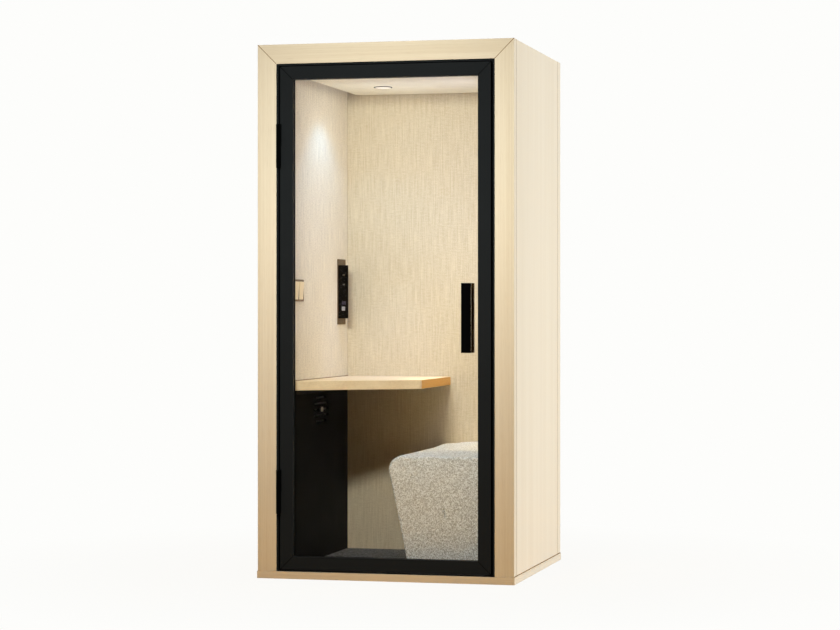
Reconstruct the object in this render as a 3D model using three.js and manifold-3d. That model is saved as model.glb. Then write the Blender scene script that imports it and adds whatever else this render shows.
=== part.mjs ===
// Acoustic office pod for one person: a wood shell on a plinth, a framed glass door on barrel hinges,
// and a felt-lined cabin with a desk, a bench, power sockets, a light and forced ventilation.
// Millimetres, +Z up. The origin is on the floor under the middle of the pod. +X is to the right of
// someone who faces the door, and +Y runs from the door to the back.
import * as THREE from "three";
import { mergeVertices } from "three/addons/utils/BufferGeometryUtils.js";
import Module from "manifold-3d";

const wasm = await Module();
wasm.setup();

// Driving dimensions: the shell
const WIDTH = 1080;
const DEPTH = 1010;
const HEIGHT = 2200;
const GAP = 0.3; // left between pieces that touch
const ARC_STEPS = 2; // a drawn arc has twice as many chords
const BASE = { thickness: 30, proud: 2.5 };
const FOOT = { x: 470, y: 430, steps: 16, radius: 21, height: 7.5, stemRadius: 5, lift: 0.5, play: 1.5 };
const PORTAL = { width: 80, thickness: 50 };
const PANEL = 18; // outer wall and roof boards
const SIDE_WALL = 119.5; // outer face to felt face
const BACK = { rim: 65, wall: 63, rimWidth: 80 };
const FELT = { thickness: 12, top: 2165 };
const CARPET = 5.7;

// Driving dimensions: the doorway and the door
const JAMB = { lip: 8, reveal: 35, setBack: 2, depth: 63, stop: 21 };
const THRESHOLD = 3.7;
const LEAF = { sideGap: 16, headGap: 11.5, bottom: 38, profile: 54, thickness: 38, rebate: 10 };
const GLASS = { thickness: 8, setBack: 25, cover: 8, corner: 2, studPlay: 1, beadCorner: 1 };
const SEAL = { width: 8, inset: 4, thickness: 3.3 };
const HINGE = {
  heights: { upper: 1781, lower: 358 },
  length: 180,
  radius: 10,
  stand: 11, // from the pin's axis to the face of the leaf
  wrap: 0.306, // angle that the barrel runs on past its axis, in radians
  pin: 4,
  pinRoot: 10,
  play: 0.3,
};
const HANDLE = {
  x: 342,
  z: 1074,
  width: 41,
  height: 283,
  corner: 2,
  thickness: 14,
  edge: 1.5,
  stand: 18, // finger room between the bar and the glass
  stud: 6,
  spacing: 200,
};

// Driving dimensions: the fittings of the cabin
const CEILING = { underside: 2071, thickness: 18, sideGap: 45.5, backGap: 2, front: -400, corner: 30 };
const HANGER = { x: 300, thickness: 12, front: -330, back: 370 };
const DOWNLIGHT = {
  x: -160,
  y: 82,
  radius: 40,
  collar: 32,
  throat: 36,
  wall: 2,
  ledge: 1.2, // web over the lens, between the flange and the collar
  lip: 3.5,
  lens: 1.7,
  canHeight: 70,
};
const DESK = {
  top: 810,
  thickness: 38,
  right: 55,
  frontRight: -103,
  frontLeft: -429,
  corner: 22,
  edge: 1.5,
};
const RAIL = { front: -360, back: 380, height: 20, reach: 25, plate: 3 };
const BENCH = {
  top: 509,
  foot: 64,
  lean: 0.2044, // how far the long side leans out for each millimetre of height
  front: -385,
  shoulder: 57,
  crown: 12.5,
  rise: 420, // length behind the front edge over which the crown grows to its full height
  swell: 5,
  edge: 14,
  drawIn: 0.05, // share of the section that the rounded front edge loses
  puffRings: [0.4, 0.75],
  edgeRings: 3,
  lengthRings: 7,
  outlinePoints: 60,
};
const CARCASS = { left: 150, front: -330, back: 395, top: 400, board: 18 };
const POWER = {
  z: 1187,
  near: 276, // where the slanting face starts on the back plate
  reach: 36, // how far its ridge stands out from the plate
  slant: 45, // degrees between the face and the wall
  far: 388, // where the body comes back to the plate
  height: 236,
  plate: { y: 334, width: 124, height: 290, thickness: 3 },
};
const PLATE_CORNER = 4; // of the power unit and the wall switch
const SOCKET = {
  heights: { upper: 1252, lower: 1209.5 },
  radius: 17,
  depth: 7,
  face: 2,
  floor: 0.5,
  hole: 2.4,
  pitch: 19,
  earth: { radius: 2.4, rise: 10, length: 13 },
};
const USB = { z: 1138, shift: 3, width: 21, height: 15, depth: 7, base: 1, slot: [12, 5], spacing: 6.6 };
const DATA = { z: 1112.5, shift: 1, width: 17, height: 18, depth: 8, base: 1.5, mouth: [11.5, 10] };
const SWITCH = {
  y: -340,
  z: 1188,
  width: 146,
  height: 92,
  proud: 8,
  rim: 8,
  back: 1.5,
  edge: 1,
  rib: [40, 3], // length and width of the rib that carries a rocker
};
const ROCKER = { tilt: 4, thickness: 5, corner: 2, play: 0.5 };
const VENT = { y: 22, z: 677, pitch: 25.5, slot: 8, rows: [150, 232, 232, 232, 150], hub: 62 };
const LATCH = {
  radius: 11,
  proud: 6,
  shaft: 6,
  cam: { length: 44, width: 12, corner: 5, thickness: 3, play: 1 },
  slot: { length: 15.4, width: 2, depth: 2.5 },
};
const FAN = { size: 150, corner: 8, depth: 38, bore: 71, motor: 6, strut: 8, strutDepth: 4, play: 5 };
const ROTOR = {
  low: 7,
  high: 35,
  hub: 24,
  tip: 66,
  blades: 7,
  thickness: 1.8,
  rootPitch: 52, // degrees
  tipPitch: 28,
  rootChord: 22,
  tipChord: 31,
  flat: 0.8, // keeps the blades inside the hub's height
  stations: 4,
};
const INTAKE = { y: 20, z: 677, x: -491, slots: 5, slotLength: 150 };
const EXHAUST = {
  x: 120,
  y: 150,
  grille: 180,
  corner: 3,
  thickness: 10,
  slots: 9,
  slotLength: 150,
  open: 0.55, // share of the slots' pitch that is open
};
const INLET = {
  x: -375,
  y: 395,
  width: 48,
  height: 28,
  depth: 34,
  mouth: { width: 27, height: 19, depth: 18, corner: 3 },
  pin: { thickness: 2, width: 4, length: 6.2, places: [[-7, -3], [0, 4], [7, -3]] },
};
const OVERRUN = 1; // how far a cutter runs past the face it opens, and a joined piece into its neighbour

// Places that follow from the driving dimensions
const frontY = -DEPTH / 2;
const backY = DEPTH / 2;
const rightX = WIDTH / 2;
const baseTop = BASE.thickness + GAP;
const cabinX = rightX - SIDE_WALL;
const cabinBack = backY - BACK.wall;
const openingX = rightX - PORTAL.width;
const openingTop = HEIGHT - PORTAL.width;
const jambFront = frontY + JAMB.setBack;
const jambBack = jambFront + JAMB.depth;
const stopY = jambBack - JAMB.stop;
const leafX = openingX - LEAF.sideGap;
const leafTop = openingTop - LEAF.headGap;
const leafFront = jambFront;
const leafBack = leafFront + LEAF.thickness;
const glassFront = leafFront + GLASS.setBack;
const glassMiddle = glassFront + GLASS.thickness / 2;
const hingeX = -(openingX + leafX) / 2 + JAMB.lip / 2;
const hingeY = leafFront - HINGE.stand;

// Finishes
const FINISHES = {
  wood: { color: 0xe3cfa8, roughness: 0.55, metalness: 0 },
  board: { color: 0xcbb288, roughness: 0.7, metalness: 0 },
  wool: { color: 0x8d8a84, roughness: 0.95, metalness: 0 },
  felt: { color: 0xdccbab, roughness: 0.92, metalness: 0 },
  carpet: { color: 0x4a494c, roughness: 0.97, metalness: 0 },
  upholstery: { color: 0xbdb5a6, roughness: 0.93, metalness: 0 },
  black: { color: 0x1b1c1e, roughness: 0.45, metalness: 0.3 },
  blackPlastic: { color: 0x111112, roughness: 0.5, metalness: 0 },
  white: { color: 0xece6da, roughness: 0.6, metalness: 0 },
  tan: { color: 0xcfae83, roughness: 0.5, metalness: 0 },
  bronze: { color: 0x5d4f33, roughness: 0.45, metalness: 0.6 },
  steel: { color: 0xb9bcc0, roughness: 0.3, metalness: 1 },
  violet: { color: 0x3d364a, roughness: 0.4, metalness: 0 },
  rubber: { color: 0x18181a, roughness: 0.85, metalness: 0 },
  glass: { color: 0xeef3f1, roughness: 0.03, metalness: 0, transparent: true, opacity: 0.2 },
  lamp: { color: 0xfff2dc, roughness: 0.4, metalness: 0 },
};

// Solids: joining, cutting and the basic forms

function solidOf(geometry) {
  const bare = geometry.clone();
  bare.deleteAttribute("normal");
  bare.deleteAttribute("uv");
  const merged = mergeVertices(bare, 1e-4);
  const mesh = new wasm.Mesh({
    numProp: 3,
    vertProperties: merged.attributes.position.array,
    triVerts: new Uint32Array(merged.index.array),
  });
  return new wasm.Manifold(mesh);
}

function geometryOf(solid) {
  const mesh = solid.getMesh();
  const geometry = new THREE.BufferGeometry();
  geometry.setAttribute("position", new THREE.BufferAttribute(mesh.vertProperties, 3));
  geometry.setIndex(new THREE.BufferAttribute(mesh.triVerts, 1));
  geometry.computeVertexNormals();
  return geometry;
}

function cut(geometry, ...tools) {
  return geometryOf(tools.reduce((solid, tool) => solid.subtract(solidOf(tool)), solidOf(geometry)));
}

function join(geometry, ...others) {
  return geometryOf(others.reduce((solid, other) => solid.add(solidOf(other)), solidOf(geometry)));
}

// A block between two places on each axis.
function block([x0, x1], [y0, y1], [z0, z1]) {
  const geometry = new THREE.BoxGeometry(x1 - x0, y1 - y0, z1 - z0);
  return geometry.translate((x0 + x1) / 2, (y0 + y1) / 2, (z0 + z1) / 2);
}

// A round rod between two places along an axis, around a centre in the other two axes.
function rod(axis, [from, to], radius, [u, v], steps = 24) {
  const geometry = new THREE.CylinderGeometry(radius, radius, to - from, steps);
  const middle = (from + to) / 2;
  if (axis === "x") {
    return geometry.rotateZ(-Math.PI / 2).translate(middle, u, v);
  }
  if (axis === "y") {
    return geometry.translate(u, middle, v);
  }
  return geometry.rotateX(Math.PI / 2).translate(u, v, middle);
}

function outline(points) {
  return new THREE.Shape(points.map(([u, v]) => new THREE.Vector2(u, v)));
}

// A rectangle with rounded corners, around a centre.
function roundedRect(u, v, width, height, radius, path = new THREE.Shape()) {
  const [left, right] = [u - width / 2, u + width / 2];
  const [low, high] = [v - height / 2, v + height / 2];
  path.moveTo(left + radius, low);
  path.lineTo(right - radius, low);
  path.absarc(right - radius, low + radius, radius, -Math.PI / 2, 0);
  path.lineTo(right, high - radius);
  path.absarc(right - radius, high - radius, radius, 0, Math.PI / 2);
  path.lineTo(left + radius, high);
  path.absarc(left + radius, high - radius, radius, Math.PI / 2, Math.PI);
  path.lineTo(left, low + radius);
  path.absarc(left + radius, low + radius, radius, Math.PI, 1.5 * Math.PI);
  return path;
}

// A slot with nearly half-round ends, as a hole in a shape.
const SLOT_ROUNDING = 0.49;

function slotHole(u, v, length, width) {
  return roundedRect(u, v, length, width, width * SLOT_ROUNDING, new THREE.Path());
}

function roundHole(u, v, radius, steps = 24) {
  const points = Array.from({ length: steps }, (_, step) => {
    const angle = (step * 2 * Math.PI) / steps;
    return new THREE.Vector2(u + radius * Math.cos(angle), v + radius * Math.sin(angle));
  });
  return new THREE.Path(points);
}

// A profile of (radius, height) points turned round the Z axis.
function turned(profile, steps = 32) {
  const points = profile.map(([radius, height]) => new THREE.Vector2(radius, height));
  return new THREE.LatheGeometry(points, steps).rotateX(Math.PI / 2);
}

// An outline pushed along an axis. It is drawn in (y, z) for x, in (x, z) for y and in (x, y) for z.
function prism(shape, axis, [from, to], { bevel = 0, arcSteps = ARC_STEPS } = {}) {
  const geometry = new THREE.ExtrudeGeometry(shape, {
    depth: to - from - 2 * bevel,
    curveSegments: arcSteps,
    bevelEnabled: bevel > 0,
    bevelThickness: bevel,
    bevelSize: bevel,
    bevelOffset: -bevel,
    bevelSegments: 2,
  });
  geometry.translate(0, 0, bevel);
  if (axis === "x") {
    const turn = new THREE.Matrix4().makeBasis(
      new THREE.Vector3(0, 1, 0),
      new THREE.Vector3(0, 0, 1),
      new THREE.Vector3(1, 0, 0),
    );
    return geometry.applyMatrix4(turn).translate(from, 0, 0);
  }
  if (axis === "y") {
    return geometry.rotateX(Math.PI / 2).translate(0, to, 0);
  }
  return geometry.translate(0, 0, from);
}

// Slants the ends of a straight length to 45 degrees, so that it meets its neighbours in a mitre.
// along and across are axis numbers, and outer is where the long edge lies across.
function mitre(geometry, along, across, outer, { low = true, high = true } = {}) {
  const position = geometry.attributes.position;
  geometry.computeBoundingBox();
  const middle = geometry.boundingBox.getCenter(new THREE.Vector3()).getComponent(along);
  for (let i = 0; i < position.count; i++) {
    const place = position.getComponent(i, along);
    const back = Math.abs(position.getComponent(i, across) - outer) + GAP / 2;
    if (place < middle && low) {
      position.setComponent(i, along, place + back);
    }
    if (place > middle && high) {
      position.setComponent(i, along, place - back);
    }
  }
  return geometry;
}

// A closed skin through rings of equal count, with a fan over the first and the last ring.
function loft(rings) {
  const count = rings[0].length;
  const points = rings.flat();
  const middleOf = (ring) => {
    const sum = ring.reduce((total, point) => total.add(point), new THREE.Vector3());
    return sum.divideScalar(count);
  };
  const first = points.push(middleOf(rings[0])) - 1;
  const last = points.push(middleOf(rings[rings.length - 1])) - 1;
  const lastRing = (rings.length - 1) * count;
  const index = [];
  for (let i = 0; i < count; i++) {
    const next = (i + 1) % count;
    index.push(first, next, i);
    index.push(last, lastRing + i, lastRing + next);
    for (let ring = 0; ring < lastRing; ring += count) {
      index.push(ring + i, ring + next, ring + count + next);
      index.push(ring + i, ring + count + next, ring + count + i);
    }
  }
  const geometry = new THREE.BufferGeometry().setFromPoints(points);
  geometry.setIndex(index);
  geometry.computeVertexNormals();
  return geometry;
}

// The scene graph: one group per assembly, one named mesh per piece

const pod = new THREE.Group();
pod.name = "acoustic_office_pod";

function assembly(name) {
  const group = new THREE.Group();
  group.name = name;
  pod.add(group);
  return group;
}

function piece(group, name, geometry, finish) {
  const mesh = new THREE.Mesh(geometry, new THREE.MeshStandardMaterial(FINISHES[finish]));
  mesh.name = name;
  group.add(mesh);
  return mesh;
}

const SIDES = { left: -1, right: 1 };

// The range of a length that lies evenly about a middle.
function around(middle, length) {
  return [middle - length / 2, middle + length / 2];
}

// Orders two places so that a range always runs upwards.
function span(a, b) {
  return a < b ? [a, b] : [b, a];
}

function buildBase() {
  const group = assembly("base");
  const halfX = rightX + BASE.proud;
  const halfY = backY + BASE.proud;
  const pocketTop = FOOT.lift + FOOT.height + FOOT.play;
  const pockets = [];
  for (const [end, y] of [["front", -FOOT.y], ["rear", FOOT.y]]) {
    for (const [side, sign] of Object.entries(SIDES)) {
      const centre = [sign * FOOT.x, y];
      const stemHole = [-OVERRUN, BASE.thickness + OVERRUN];
      pockets.push(rod("z", [-OVERRUN, pocketTop], FOOT.radius + FOOT.play, centre, FOOT.steps));
      pockets.push(rod("z", stemHole, FOOT.stemRadius + GAP * 2, centre, FOOT.steps));
      const plate = rod("z", [FOOT.lift, FOOT.lift + FOOT.height], FOOT.radius, centre, FOOT.steps);
      const stemRange = [FOOT.lift + OVERRUN, BASE.thickness - GAP];
      const stem = rod("z", stemRange, FOOT.stemRadius, centre, FOOT.steps);
      piece(group, `levelling_foot_${end}_${side}`, join(plate, stem), "steel");
    }
  }
  const slab = block([-halfX, halfX], [-halfY, halfY], [0, BASE.thickness]);
  piece(group, "base_plinth", cut(slab, ...pockets), "wood");
  const carpetX = cabinX - GAP;
  const carpetY = [jambBack + GAP, cabinBack - GAP];
  const carpet = block([-carpetX, carpetX], carpetY, [baseTop, baseTop + CARPET]);
  piece(group, "floor_carpet", carpet, "carpet");
}

function buildPortal() {
  const group = assembly("front_portal");
  const depth = [frontY, frontY + PORTAL.thickness];
  for (const [side, sign] of Object.entries(SIDES)) {
    const stile = block(span(sign * rightX, sign * openingX), depth, [baseTop, HEIGHT]);
    const slanted = mitre(stile, 2, 0, sign * rightX, { low: false });
    piece(group, `front_${side}_stile`, slanted, "wood");
  }
  const rail = block([-rightX, rightX], depth, [openingTop, HEIGHT]);
  piece(group, "front_top_rail", mitre(rail, 0, 2, HEIGHT), "wood");
}

function buildWalls() {
  const group = assembly("walls");
  const sideY = [frontY + PORTAL.thickness + GAP, backY - BACK.rim - GAP];
  const coreY = [jambBack + GAP, backY - BACK.rim - GAP];
  const feltY = [jambBack + GAP, cabinBack - GAP];
  const boardTop = HEIGHT - GAP;
  const coreTop = HEIGHT - PANEL - GAP * 2;
  for (const [side, sign] of Object.entries(SIDES)) {
    const boardX = span(sign * rightX, sign * (rightX - PANEL));
    const coreX = span(sign * (rightX - PANEL - GAP), sign * (cabinX + FELT.thickness + GAP));
    const board = outline([
      [sideY[0], baseTop],
      [sideY[1], baseTop],
      [sideY[1], boardTop],
      [sideY[0], boardTop],
    ]);
    const core = block(coreX, coreY, [baseTop, coreTop]);
    if (side === "left") {
      for (let row = 0; row < INTAKE.slots; row++) {
        const z = INTAKE.z + (row - (INTAKE.slots - 1) / 2) * VENT.pitch;
        board.holes.push(slotHole(INTAKE.y, z, INTAKE.slotLength, VENT.slot));
      }
      piece(group, "left_core", cut(core, intakePocket(coreX)), "wool");
    } else {
      piece(group, "right_core", core, "wool");
    }
    piece(group, `${side}_side_panel`, prism(board, "x", boardX), "wood");
  }
  const seam = DESK.top - DESK.thickness / 2;
  const leftX = [-cabinX - FELT.thickness, -cabinX];
  const upper = block(leftX, feltY, [seam + GAP, FELT.top]);
  piece(group, "left_felt_panel", upper, "felt");
  piece(group, "left_lower_panel", ventedPanel(leftX, feltY, [baseTop, seam]), "black");
  const right = block([cabinX, cabinX + FELT.thickness], feltY, [baseTop, FELT.top]);
  piece(group, "right_felt_panel", right, "felt");
  const backX = cabinX + FELT.thickness - GAP;
  const backFeltY = [cabinBack, cabinBack + FELT.thickness];
  piece(group, "back_felt_panel", block([-backX, backX], backFeltY, [baseTop, FELT.top]), "felt");
  const slab = block([-rightX, rightX], [backY - BACK.rim, backY], [baseTop, HEIGHT]);
  const fieldX = rightX - BACK.rimWidth;
  const fieldY = [backY - BACK.rim - OVERRUN, cabinBack + FELT.thickness + GAP];
  const rebate = block([-fieldX, fieldX], fieldY, [0, FELT.top + GAP]);
  piece(group, "back_panel", cut(slab, rebate), "wood");
}

// The room that the intake fan takes in the left wall.
function intakePocket(coreX) {
  const half = FAN.size / 2 + FAN.play;
  const reach = Math.max(...VENT.rows) / 2 + VENT.slot;
  const y = [Math.min(INTAKE.y - half, VENT.y - reach), Math.max(INTAKE.y + half, VENT.y + reach)];
  return block([coreX[0] - OVERRUN, coreX[1] + OVERRUN], y, [INTAKE.z - half, INTAKE.z + half]);
}

// The dark lower panel, with rows of air slots round a quarter-turn latch.
function ventedPanel(x, y, z) {
  const shape = outline([[y[0], z[0]], [y[1], z[0]], [y[1], z[1]], [y[0], z[1]]]);
  const middle = (VENT.rows.length - 1) / 2;
  VENT.rows.forEach((length, row) => {
    const height = VENT.z + (middle - row) * VENT.pitch;
    if (row === middle) {
      const half = (length - VENT.hub) / 2;
      const shift = (VENT.hub + half) / 2;
      shape.holes.push(slotHole(VENT.y - shift, height, half, VENT.slot));
      shape.holes.push(slotHole(VENT.y + shift, height, half, VENT.slot));
    } else {
      shape.holes.push(slotHole(VENT.y, height, length, VENT.slot));
    }
  });
  shape.holes.push(roundHole(VENT.y, VENT.z, LATCH.shaft + GAP * 2));
  return prism(shape, "x", x);
}

function buildLatch() {
  const group = assembly("panel_latch");
  const centre = [VENT.y, VENT.z];
  const face = -cabinX;
  const behind = face - FELT.thickness;
  const { cam, slot } = LATCH;
  const camX = [behind - cam.play - cam.thickness, behind - cam.play];
  const knob = rod("x", [face + GAP, face + LATCH.proud], LATCH.radius, centre);
  const shaft = rod("x", [camX[0], face + OVERRUN], LATCH.shaft, centre);
  const arm = prism(roundedRect(...centre, cam.length, cam.width, cam.corner), "x", camX);
  const notch = block(
    [face + LATCH.proud - slot.depth, face + LATCH.proud + OVERRUN],
    around(VENT.y, slot.length),
    around(VENT.z, slot.width),
  );
  piece(group, "panel_latch", cut(join(knob, shaft, arm), notch), "steel");
}

function buildRoof() {
  const group = assembly("roof");
  const x = rightX - PANEL - GAP;
  const y = [frontY + PORTAL.thickness + GAP, backY - BACK.rim - GAP];
  const z = [HEIGHT - PANEL - GAP, HEIGHT - GAP];
  const seat = z[1] - EXHAUST.thickness - GAP;
  const grilleHole = block(
    around(EXHAUST.x, EXHAUST.grille),
    around(EXHAUST.y, EXHAUST.grille),
    [seat, HEIGHT + OVERRUN],
  );
  const duct = rod("z", [z[0] - OVERRUN, HEIGHT], FAN.bore, [EXHAUST.x, EXHAUST.y], 32);
  const inletHole = block(
    around(INLET.x, INLET.width + 2 * GAP),
    around(INLET.y, INLET.height + 2 * GAP),
    [z[0] - OVERRUN, HEIGHT + OVERRUN],
  );
  const board = block([-x, x], y, z);
  piece(group, "roof_panel", cut(board, grilleHole, duct, inletHole), "board");

  const grilleSize = EXHAUST.grille - 3 * GAP;
  const grille = roundedRect(EXHAUST.x, EXHAUST.y, grilleSize, grilleSize, EXHAUST.corner);
  const pitch = EXHAUST.slotLength / EXHAUST.slots;
  for (let row = 0; row < EXHAUST.slots; row++) {
    const place = EXHAUST.y + (row - (EXHAUST.slots - 1) / 2) * pitch;
    grille.holes.push(slotHole(EXHAUST.x, place, EXHAUST.slotLength, pitch * EXHAUST.open));
  }
  piece(group, "roof_vent_grille", prism(grille, "z", [seat + GAP, z[1]]), "black");

  const { mouth, pin } = INLET;
  const inletX = around(INLET.x, INLET.width);
  const body = block(inletX, around(INLET.y, INLET.height), [z[1] - INLET.depth, z[1]]);
  const floor = z[1] - mouth.depth;
  const hollow = prism(
    roundedRect(INLET.x, INLET.y, mouth.width, mouth.height, mouth.corner),
    "z",
    [floor, z[1] + OVERRUN],
  );
  const pins = pin.places.map(([shiftX, shiftY]) =>
    block(
      around(INLET.x + shiftX, pin.thickness),
      around(INLET.y + shiftY, pin.width),
      [floor - OVERRUN, floor + pin.length],
    ),
  );
  piece(group, "mains_inlet", join(cut(body, hollow), ...pins), "blackPlastic");
}

function buildCeiling() {
  const group = assembly("ceiling");
  const halfX = cabinX - CEILING.sideGap;
  const back = cabinBack - CEILING.backGap;
  const z = [CEILING.underside, CEILING.underside + CEILING.thickness];
  const depth = back - CEILING.front;
  const shape = roundedRect(0, CEILING.front + depth / 2, 2 * halfX, depth, CEILING.corner);
  shape.holes.push(roundHole(DOWNLIGHT.x, DOWNLIGHT.y, DOWNLIGHT.collar + DOWNLIGHT.wall));
  const hangers = Object.values(SIDES).map((sign) => {
    const x = span(sign * HANGER.x, sign * (HANGER.x + HANGER.thickness));
    return block(x, [HANGER.front, HANGER.back], [z[1] - OVERRUN, HEIGHT - PANEL - GAP * 2]);
  });
  piece(group, "ceiling_panel", join(prism(shape, "z", z, { arcSteps: 5 }), ...hangers), "white");

  const centre = [DOWNLIGHT.x, DOWNLIGHT.y];
  const { radius, collar, throat, wall, ledge } = DOWNLIGHT;
  const trim = turned([
    [throat, z[0] - DOWNLIGHT.lip],
    [radius, z[0] - DOWNLIGHT.lip],
    [radius, z[0] - GAP],
    [collar, z[0] - GAP],
    [collar, z[1]],
    [collar - wall, z[1]],
    [collar - wall, z[0] - GAP - ledge],
    [throat, z[0] - GAP - ledge],
    [throat, z[0] - DOWNLIGHT.lip],
  ]);
  piece(group, "downlight_trim", trim.translate(...centre, 0), "black");
  const lensLow = z[0] - DOWNLIGHT.lip;
  const lens = rod("z", [lensLow, lensLow + DOWNLIGHT.lens], throat - GAP * 2, centre, 32);
  piece(group, "downlight_lens", lens, "lamp");
  const canTop = z[1] + DOWNLIGHT.canHeight;
  const can = turned([
    [collar, z[1] + GAP],
    [collar + wall, z[1] + GAP],
    [collar + wall, canTop],
    [0, canTop],
    [0, canTop - wall],
    [collar, canTop - wall],
    [collar, z[1] + GAP],
  ]);
  piece(group, "downlight_can", can.translate(...centre, 0), "steel");
}

function buildDoorway() {
  const group = assembly("doorway");
  const outer = openingX - GAP;
  const inner = openingX - JAMB.reveal;
  const lip = openingX - JAMB.lip;
  const low = baseTop + THRESHOLD + GAP;
  const headTop = openingTop - GAP;
  for (const [side, sign] of Object.entries(SIDES)) {
    const section = outline([
      [sign * outer, jambFront],
      [sign * lip, jambFront],
      [sign * lip, stopY],
      [sign * inner, stopY],
      [sign * inner, jambBack],
      [sign * outer, jambBack],
    ]);
    const post = mitre(prism(section, "z", [low, headTop]), 2, 0, sign * outer, { low: false });
    piece(group, `jamb_${side}`, post, "black");
  }
  const headSection = outline([
    [jambFront, headTop],
    [jambFront, headTop + lip - outer],
    [stopY, headTop + lip - outer],
    [stopY, headTop + inner - outer],
    [jambBack, headTop + inner - outer],
    [jambBack, headTop],
  ]);
  piece(group, "jamb_head", mitre(prism(headSection, "x", [-outer, outer]), 0, 2, headTop), "black");
  const sill = block([-outer, outer], [jambFront, jambBack], [baseTop, baseTop + THRESHOLD]);
  piece(group, "threshold", sill, "black");

  const sealIn = inner + SEAL.inset;
  const sealOut = sealIn + SEAL.width;
  const rise = openingTop - openingX;
  const strip = outline([
    [-sealOut, low],
    [-sealIn, low],
    [-sealIn, sealIn + rise],
    [sealIn, sealIn + rise],
    [sealIn, low],
    [sealOut, low],
    [sealOut, sealOut + rise],
    [-sealOut, sealOut + rise],
  ]);
  piece(group, "door_seal", prism(strip, "y", [stopY - GAP - SEAL.thickness, stopY - GAP]), "rubber");
}

function buildDoor() {
  const group = assembly("door");
  const inner = leafX - LEAF.profile;
  const groove = inner + LEAF.rebate;
  const rebateY = glassFront - GAP;
  // The section of the frame: a bar with a rebate for the glass, drawn from its outer edge inwards.
  const section = (place) => [
    [place(leafX), leafFront],
    [place(inner), leafFront],
    [place(inner), rebateY],
    [place(groove), rebateY],
    [place(groove), leafBack],
    [place(leafX), leafBack],
  ];
  for (const [side, sign] of Object.entries(SIDES)) {
    const bar = prism(outline(section((u) => sign * u)), "z", [LEAF.bottom, leafTop]);
    piece(group, `door_${side}_stile`, mitre(bar, 2, 0, sign * leafX), "black");
  }
  const rails = {
    top: { edge: leafTop, place: (u) => leafTop - (leafX - u) },
    bottom: { edge: LEAF.bottom, place: (u) => LEAF.bottom + (leafX - u) },
  };
  for (const [name, { edge, place }] of Object.entries(rails)) {
    const points = section(place).map(([z, y]) => [y, z]);
    const bar = prism(outline(points), "x", [-leafX, leafX]);
    piece(group, `door_${name}_rail`, mitre(bar, 0, 2, edge), "black");
  }

  const low = LEAF.bottom + LEAF.profile;
  const high = leafTop - LEAF.profile;
  const middle = (low + high) / 2;
  const paneWidth = 2 * (inner + GLASS.cover);
  const pane = roundedRect(0, middle, paneWidth, high - low + 2 * GLASS.cover, GLASS.corner);
  for (const z of studHeights()) {
    pane.holes.push(roundHole(HANDLE.x, z, HANDLE.stud + GLASS.studPlay));
  }
  piece(group, "door_glass", prism(pane, "y", [glassFront, glassFront + GLASS.thickness]), "glass");

  const beadOut = LEAF.rebate - GAP;
  const corner = GLASS.beadCorner;
  const bead = roundedRect(0, middle, 2 * (inner + beadOut), high - low + 2 * beadOut, corner);
  bead.holes.push(roundedRect(0, middle, 2 * inner, high - low, corner, new THREE.Path()));
  piece(group, "glazing_bead", prism(bead, "y", [glassFront + GLASS.thickness + GAP, leafBack]), "rubber");
}

function studHeights() {
  return [HANDLE.z - HANDLE.spacing / 2, HANDLE.z + HANDLE.spacing / 2];
}

// A flat pull bar on each side of the glass. The studs go through the glass and hold both bars.
function buildHandle() {
  const group = assembly("door_handle");
  const reach = GLASS.thickness / 2 + HANDLE.stand;
  const outerBack = glassMiddle - reach;
  const innerFront = glassMiddle + reach;
  const { thickness, edge } = HANDLE;
  const shape = roundedRect(HANDLE.x, HANDLE.z, HANDLE.width, HANDLE.height, HANDLE.corner);
  const outerBar = prism(shape, "y", [outerBack - thickness, outerBack], { bevel: edge });
  const innerBar = prism(shape, "y", [innerFront, innerFront + thickness], { bevel: edge });
  const studs = studHeights().map((z) =>
    rod("y", [outerBack - edge, innerFront - GAP], HANDLE.stud, [HANDLE.x, z], 20),
  );
  piece(group, "handle_outer", join(outerBar, ...studs), "black");
  piece(group, "handle_inner", innerBar, "black");
}

// Lift-off barrel hinges: the jamb half is below and carries the pin, the door half sits on it.
function buildHinges() {
  const group = assembly("hinges");
  const half = (sign) => {
    const foot = hingeY + HINGE.stand - GAP;
    const side = hingeX + sign * HINGE.radius;
    const edge = sign < 0 ? -(openingX - JAMB.lip) - GAP : -leafX + GAP;
    const start = Math.PI / 2 + sign * HINGE.wrap;
    const shape = new THREE.Shape();
    shape.moveTo(side, hingeY);
    shape.lineTo(side, foot);
    shape.lineTo(edge, foot);
    shape.lineTo(hingeX + HINGE.radius * Math.cos(start), hingeY + HINGE.radius * Math.sin(start));
    shape.absarc(hingeX, hingeY, HINGE.radius, start, sign < 0 ? -Math.PI : 0, sign < 0);
    return shape;
  };
  const axis = [hingeX, hingeY];
  const { pin, play } = HINGE;
  for (const [name, height] of Object.entries(HINGE.heights)) {
    const [low, high] = around(height, HINGE.length);
    const pinTop = high - HINGE.radius;
    const lower = prism(half(-1), "z", [low, height - play], { arcSteps: 10 });
    const pinRod = rod("z", [height - HINGE.pinRoot, pinTop], pin, axis, 20);
    piece(group, `hinge_${name}_jamb_half`, join(lower, pinRod), "black");
    const upper = prism(half(1), "z", [height + play, high], { arcSteps: 10 });
    const bore = rod("z", [height - OVERRUN, pinTop + play], pin + play, axis, 20);
    piece(group, `hinge_${name}_door_half`, cut(upper, bore), "black");
  }
}

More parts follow.
